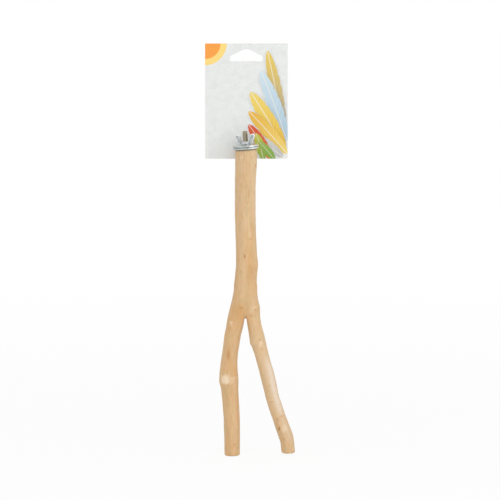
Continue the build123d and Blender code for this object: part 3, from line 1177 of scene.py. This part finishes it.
def zinc_shader(name, dull, clear):
    """A cloudy plated metal between two tones: material, tree, shader and its colour."""
    material, tree, shader = new_material(name)
    place = object_place(tree)
    bloom = cloud(tree, place, scale=420, detail=4, roughness=0.6)
    speckle = cloud(tree, place, scale=2600, detail=2)
    gloss = remap(tree, bloom, *NOISE_RANGE, *ZINC_ROUGHNESS)
    set_shader(tree, shader, {"Metallic": 1.0, "Roughness": gloss})
    relief(tree, shader, speckle, *ZINC_RELIEF)
    return material, tree, shader, ramp(tree, bloom, (0.35, dull), (0.62, clear))


zinc, tree, shader, tone = zinc_shader("bright_zinc", ZINC_DARK, ZINC_LIGHT)
# painted shade on the washers' rims
tone = blend_colours(tree, painted(tree, "painted_rim_shade"), tone, RIM_SHADE)
tree.links.new(tone, shader.inputs["Base Color"])
for piece in washers:
    points, outward = read_skin(piece)
    on_rim = 1 - np.abs(outward @ axis)
    # painted shade on the rims, full on their left, away from the lamps at the right, and gone towards
    # the right
    paint(piece, "painted_rim_shade", RIM_SHADE_SHARE * on_rim * rise(points[:, 0], *RIM_SHADE_SIDE))
    piece.data.materials.append(zinc)
cast_zinc, tree, shader, tone = zinc_shader("cast_zinc", CAST_DARK, CAST_LIGHT)
# bright rims: worn, and painted highlights
tone = blend_colours(tree, painted(tree, "worn_and_lit_rim"), tone, POLISHED_AND_LIT)
# painted shade at the nut's foot
foot_shaded = calculate(tree, "MULTIPLY", painted(tree, "painted_foot_shade"), FOOT_SHADE_SHARE)
tone = blend_colours(tree, foot_shaded, tone, FOOT_SHADE)
tree.links.new(tone, shader.inputs["Base Color"])
nut.data.materials.append(cast_zinc)
print("zinc on the washers, cast zinc on the nut")

# %% [markdown]
# The stud is zinc with a yellow passivation. The roots of its thread are darker, and painted shade
# darkens its right side low down, by the nut. Painting the darker roots by hand would miss the
# thread's turns, so the thread's bottom is found from the distance to the stud's axis.

# %% Yellow stud finish
BRASSY = (0.53, 0.455, 0.345)
OLIVE = (0.41, 0.355, 0.26)
THREAD_ROOT_DARK = (0.21, 0.175, 0.12)
# colour of the painted shade on the stud's right side, and its width, share and heights
STUD_SHADE = (0.15, 0.14, 0.078)
STUD_SHADE_WIDTH = 1.4 * MM
STUD_SHADE_SHARE = 0.85
STUD_SHADE_TOP = 14.0 * MM
STUD_SHADE_FULL = 11.8 * MM
THREAD_DEPTH = (2.05 * MM, 2.35 * MM)
STUD_ROUGHNESS = (0.46, 0.32)

yellow_zinc, tree, shader = new_material("yellow_zinc")
place = object_place(tree)
crossed = vector_step(tree, "CROSS_PRODUCT", place, STUD_AXIS)["Vector"]
crest_share = remap(tree, vector_step(tree, "LENGTH", crossed)["Value"], *THREAD_DEPTH)
patina = cloud(tree, place, scale=900, detail=3)
plated = ramp(tree, patina, (0.35, OLIVE), (0.65, BRASSY))
# the thread is darker in its roots than on its crests
colour = blend_colours(tree, crest_share, THREAD_ROOT_DARK, plated)
spot = parts_of(tree, place)
# painted shade on the stud's right side, low down by the nut
to_right = weigh(tree, (spot["X"], 1.0), (spot["Z"], -STUD_AXIS.x / STUD_AXIS.z))
low_down = remap(tree, spot["Z"], STUD_SHADE_TOP, STUD_SHADE_FULL)
stud_shaded = calculate(tree, "MULTIPLY", remap(tree, to_right, 0, STUD_SHADE_WIDTH, 0, STUD_SHADE_SHARE), low_down)
colour = blend_colours(tree, stud_shaded, colour, STUD_SHADE)
gloss = remap(tree, patina, *NOISE_RANGE, *STUD_ROUGHNESS)
set_shader(tree, shader, {"Base Color": colour, "Metallic": 0.8, "Roughness": gloss})
stud.data.materials.append(yellow_zinc)
print("yellow zinc on the bolt")

# %% [markdown]
# ## Hang card
# The card is die-cut board, creased and folded so that its tongue is gripped between the washers.
# The copy of the CAD node is flat, with no points between its edges. Subdividing would follow its
# long thin triangles, so it is cut into a grid with bisect, which gives it enough points to bow, and
# the free sides and the top are bent back a little, as board bends on a hook.

# %% Card board
GRID_STEP = 4 * MM
SIDE_BOW = 0.9 * MM
TOP_BOW = 0.6 * MM
FLAT_HALF = 12 * MM
FLAT_TOP = 18 * MM

card = copy_of_node("hang_card", "hang_card_visual")
low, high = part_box("hang_card")
bpy.ops.object.mode_set(mode="EDIT")
for side in (0, 2):
    line = Vector((0, 0, 0))
    line[side] = 1
    for step in range(1, int((high[side] - low[side]) / GRID_STEP) + 1):
        bpy.ops.mesh.select_all(action="SELECT")
        cut = Vector(low)
        cut[side] += step * GRID_STEP
        bpy.ops.mesh.bisect(plane_co=cut, plane_no=line, threshold=CUT_THRESHOLD)
bpy.ops.object.mode_set(mode="OBJECT")
drop_slivers(card)
points, outward = read_skin(card)
middle = (low.x + high.x) / 2
from_middle = np.abs(points[:, 0] - middle)
to_side = np.clip((from_middle - FLAT_HALF) / (high.x - middle - FLAT_HALF), 0, 1)
to_top = np.clip((points[:, 2] - FLAT_TOP) / (high.z - FLAT_TOP), 0, 1)
bow = SIDE_BOW * to_side**2 + TOP_BOW * to_top**2
points[:, 1] += bow
write_skin(card, points)
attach(card, "hang_card")
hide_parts("hang_card")
print("card:", len(card.data.polygons), "faces, bowed by", round(bow.max() / MM, 2), "mm")

# %% [markdown]
# ## Card finishes
# The front is printed on coated paper: a pale stone ground, a plain sun in one corner and a spray of
# feathers. An image file can't travel with the script, so nodes draw it. One node group draws a
# feather from its own coordinates, where x runs from quill to tip and y across it, and a Mapping
# node of the Texture kind lays each feather on the card. The back and the cut edges are bare board.

# %% Feather group
FEATHER_SOCKETS = {
    "Local": "NodeSocketVector",
    "Under": "NodeSocketColor",
    "Quill": "NodeSocketColor",
    "Tip": "NodeSocketColor",
}
CURL = 0.45
BARB_LEAN = 0.16
SPLIT_STRETCH = (16, 3, 1)
BARB_STRETCH = (70, 3, 1)
TIP_FULLNESS = 0.55
BARB_DARK = (0.03, 0.03, 0.03)
SHAFT_PALE = (0.86, 0.83, 0.72)
SHADOW_GREY = (0.25, 0.25, 0.27)

feather = bpy.data.node_groups.new("printed_feather", "ShaderNodeTree")
for socket, kind in FEATHER_SOCKETS.items():
    feather.interface.new_socket(name=socket, in_out="INPUT", socket_type=kind)
feather.interface.new_socket(name="Colour", in_out="OUTPUT", socket_type="NodeSocketColor")
start = feather.nodes.new("NodeGroupInput")
end = feather.nodes.new("NodeGroupOutput")
local = parts_of(feather, start.outputs["Local"])
along = local["X"]
across = weigh(feather, (local["Y"], 1.0), (calculate(feather, "POWER", along, 2.0), -CURL))
off_shaft = calculate(feather, "ABSOLUTE", across)
lean = weigh(feather, (along, 1.0), (off_shaft, -BARB_LEAN))
barb_place = feather.nodes.new("ShaderNodeCombineXYZ")
feather.links.new(lean, barb_place.inputs["X"])
feather.links.new(calculate(feather, "SIGN", across), barb_place.inputs["Y"])
splits = cloud(feather, scaled(feather, barb_place.outputs[0], SPLIT_STRETCH), detail=2)
barbs = cloud(feather, scaled(feather, barb_place.outputs[0], BARB_STRETCH), detail=1)
hump = calculate(feather, "MULTIPLY", along, calculate(feather, "SUBTRACT", 1.0, along))
hump = calculate(feather, "MAXIMUM", calculate(feather, "MULTIPLY", hump, 4.0), 0.0)
width = calculate(feather, "POWER", hump, TIP_FULLNESS)
width = calculate(feather, "SUBTRACT", width, remap(feather, splits, 0.55, 0.75, 0.0, 0.35))
inside = calculate(feather, "SUBTRACT", width, off_shaft)
covered = remap(feather, inside, 0.0, 0.07)
shade = remap(feather, inside, -0.45, 0.1, 0.0, 0.2)
shade = calculate(feather, "MULTIPLY", shade, remap(feather, hump, 0.0, 0.25))
vane = blend_colours(feather, along, start.outputs["Quill"], start.outputs["Tip"])
between_barbs = remap(feather, barbs, 0.4, 0.7, 0.0, 0.3)
vane = blend_colours(feather, between_barbs, vane, BARB_DARK, "MULTIPLY")
shaft = remap(feather, off_shaft, 0.09, 0.03, 0.0, 0.75)
vane = blend_colours(feather, shaft, vane, SHAFT_PALE)
shadowed = blend_colours(feather, shade, start.outputs["Under"], SHADOW_GREY, "MULTIPLY")
feather.links.new(blend_colours(feather, covered, shadowed, vane), end.inputs["Colour"])
print("feather group:", len(feather.nodes), "nodes")

# %% Card print
STONE = (0.815, 0.83, 0.815)
STONE_SHADE = (0.70, 0.715, 0.705)
SUN_EDGE = 0.2
# radius in mm and colour of each disc, the larger one first
SUN_DISCS = [(21.0, (0.98, 0.70, 0.22)), (15.0, (0.95, 0.36, 0.06))]
PRINT_ROUGHNESS = (0.36, 0.48)
# place of the quill in mm, lean in degrees, length and half width in mm, colours of quill and tip
FEATHERS = [
    (37, 8, 99, 86, 6.5, (0.40, 0.38, 0.37), (0.93, 0.66, 0.10)),
    (40, 4, 108, 74, 7.0, (0.45, 0.62, 0.75), (0.70, 0.84, 0.92)),
    (38, -4, 118, 66, 7.5, (0.90, 0.55, 0.06), (0.95, 0.74, 0.18)),
    (40, -8, 129, 56, 6.5, (0.94, 0.72, 0.20), (0.90, 0.50, 0.05)),
    (36, -11, 141, 42, 5.5, (0.55, 0.55, 0.54), (0.84, 0.85, 0.84)),
    (24, -13, 119, 40, 5.5, (0.86, 0.22, 0.05), (0.80, 0.10, 0.04)),
    (17, -14, 101, 27, 4.8, (0.25, 0.48, 0.08), (0.72, 0.68, 0.10)),
    (28, -14, 126, 24, 4.0, (0.20, 0.42, 0.06), (0.40, 0.58, 0.12)),
]

card_print, tree, shader = new_material("card_print")
split = parts_of(tree, object_place(tree))
sheet = tree.nodes.new("ShaderNodeCombineXYZ")
feed(tree, sheet.inputs["X"], calculate(tree, "DIVIDE", split["X"], MM))
feed(tree, sheet.inputs["Y"], calculate(tree, "DIVIDE", split["Z"], MM))
on_sheet = sheet.outputs[0]
mottle = cloud(tree, on_sheet, scale=0.14, detail=7, roughness=0.62)
fleck = cloud(tree, on_sheet, scale=0.75, detail=2)
mottled = remap(tree, mottle, 0.4, 0.75, 0.0, 0.7)
stone_share = calculate(tree, "ADD", mottled, remap(tree, fleck, *NOISE_RANGE, -0.2, 0.2))
colour = ramp(tree, stone_share, (0.0, STONE), (1.0, STONE_SHADE))
corner = (low.x / MM, high.z / MM, 0)
from_corner = vector_step(tree, "DISTANCE", on_sheet, corner)["Value"]
for radius, tint in SUN_DISCS:
    on_disc = remap(tree, from_corner, radius + SUN_EDGE, radius - SUN_EDGE)
    colour = blend_colours(tree, on_disc, colour, tint)
for x, z, lean, length, half_width, quill, tip in FEATHERS:
    laid = tree.nodes.new("ShaderNodeMapping")
    laid.vector_type = "TEXTURE"
    laid.inputs["Location"].default_value = (x, z, 0)
    laid.inputs["Rotation"].default_value = (0, 0, math.radians(lean))
    laid.inputs["Scale"].default_value = (length, half_width, 1)
    tree.links.new(on_sheet, laid.inputs["Vector"])
    drawn = tree.nodes.new("ShaderNodeGroup")
    drawn.node_tree = feather
    tree.links.new(laid.outputs["Vector"], drawn.inputs["Local"])
    tree.links.new(colour, drawn.inputs["Under"])
    feed(tree, drawn.inputs["Quill"], quill)
    feed(tree, drawn.inputs["Tip"], tip)
    colour = drawn.outputs["Colour"]
gloss = remap(tree, mottle, *NOISE_RANGE, *PRINT_ROUGHNESS)
set_shader(tree, shader, {"Base Color": colour, "Roughness": gloss, "Specular IOR Level": 0.4})
print("card print:", len(tree.nodes), "nodes")

# %% Bare board
BOARD = (0.74, 0.73, 0.69)
BOARD_SHADE = (0.68, 0.67, 0.62)
BOARD_FLECK = (0.56, 0.53, 0.47)
BOARD_RELIEF = (0.2, 0.1 * MM)
PRINTED_FACING = -0.9

bare_board, tree, shader = new_material("bare_board")
place = object_place(tree)
pulp = cloud(tree, scaled(tree, place, (500, 500, 1400)), detail=5, roughness=0.65)
flecks = cloud(tree, scaled(tree, place, (900, 900, 2600)), detail=1)
colour = ramp(tree, pulp, (0.3, BOARD_SHADE), (0.7, BOARD))
colour = blend_colours(tree, remap(tree, flecks, 0.66, 0.76, 0, 0.6), colour, BOARD_FLECK)
set_shader(tree, shader, {"Base Color": colour, "Roughness": 0.85, "Specular IOR Level": 0.2})
relief(tree, shader, pulp, *BOARD_RELIEF)
card.data.materials.append(bare_board)
card.data.materials.append(card_print)
for face in card.data.polygons:
    face.material_index = 1 if face.normal.y < PRINTED_FACING else 0
print("printed faces:", sum(face.material_index for face in card.data.polygons))

# %% [markdown]
# ## Sizes
# The dressed part is meant to stay as large as the CAD model, whose box is printed at the start.
# This last cell only brings the scene up to date.

# %% Sizes
bpy.context.view_layer.update()
